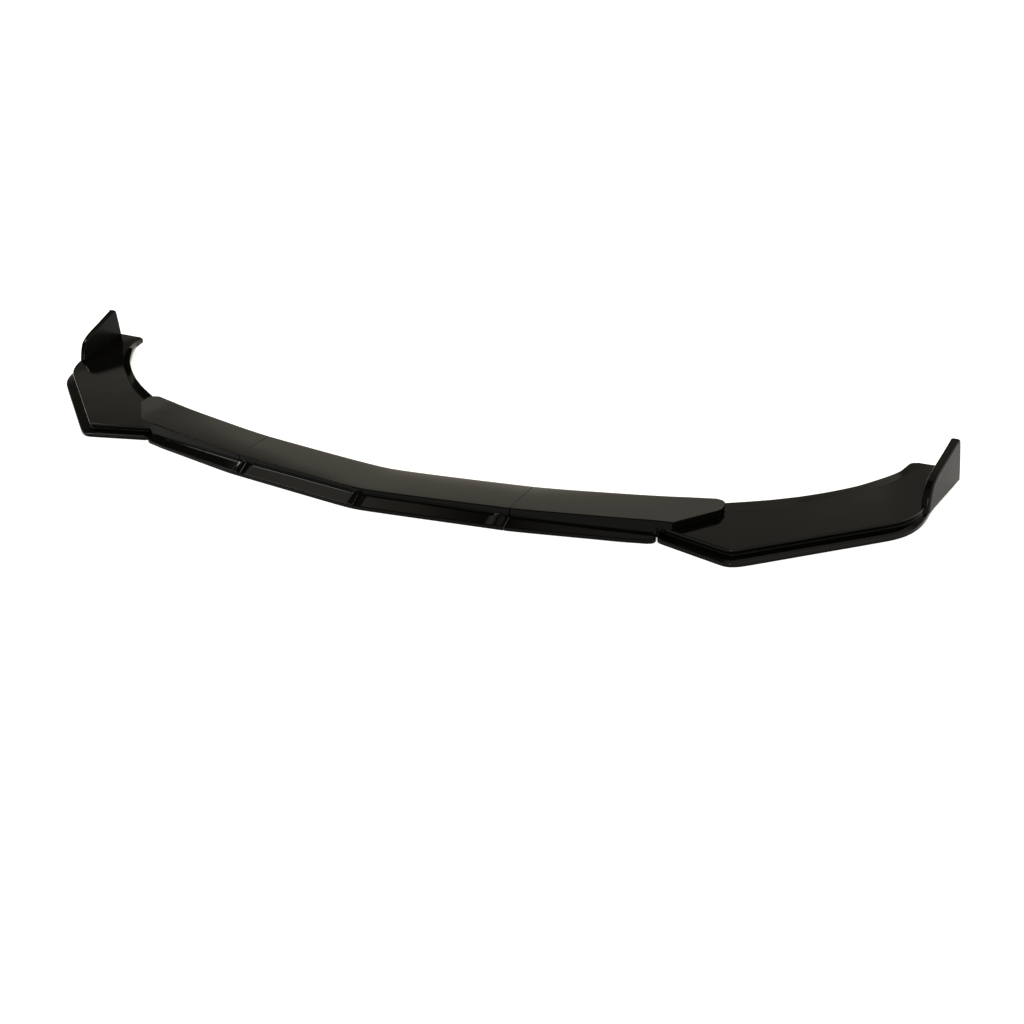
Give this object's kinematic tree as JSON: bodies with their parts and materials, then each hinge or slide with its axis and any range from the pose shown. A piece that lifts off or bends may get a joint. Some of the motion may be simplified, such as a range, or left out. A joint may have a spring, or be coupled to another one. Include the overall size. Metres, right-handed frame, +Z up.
{
  "type": "front splitter lip",
  "caption": "Car front splitter lip of joined moulded panels, with a swept nose, a grooved front edge and an upright fin at each end.",
  "frame": {"origin": "middle of the footprint, on the ground plane that the lower lip stands on", "axes": "+X across the car to the right as seen from the front of the picture, -Y forward to the pointed nose, +Z up"},
  "size_m": [1.7816, 0.456, 0.088],
  "materials": {
    "gloss_black": "gloss black moulded ABS",
    "zinc_steel": "zinc plated"
  },
  "bodies": {
    "root": {"centre_panel": "gloss_black", "inner_panel_left": "gloss_black", "inner_panel_right": "gloss_black", "side_panel_left": "gloss_black", "side_panel_right": "gloss_black", "centre_joint_washers_left": "zinc_steel", "centre_joint_washers_right": "zinc_steel", "centre_joint_screws_left": "zinc_steel", "centre_joint_screws_right": "zinc_steel", "side_joint_washers_left": "zinc_steel", "side_joint_washers_right": "zinc_steel", "side_joint_screws_left": "zinc_steel", "side_joint_screws_right": "zinc_steel"}
  },
  "joints": []
}
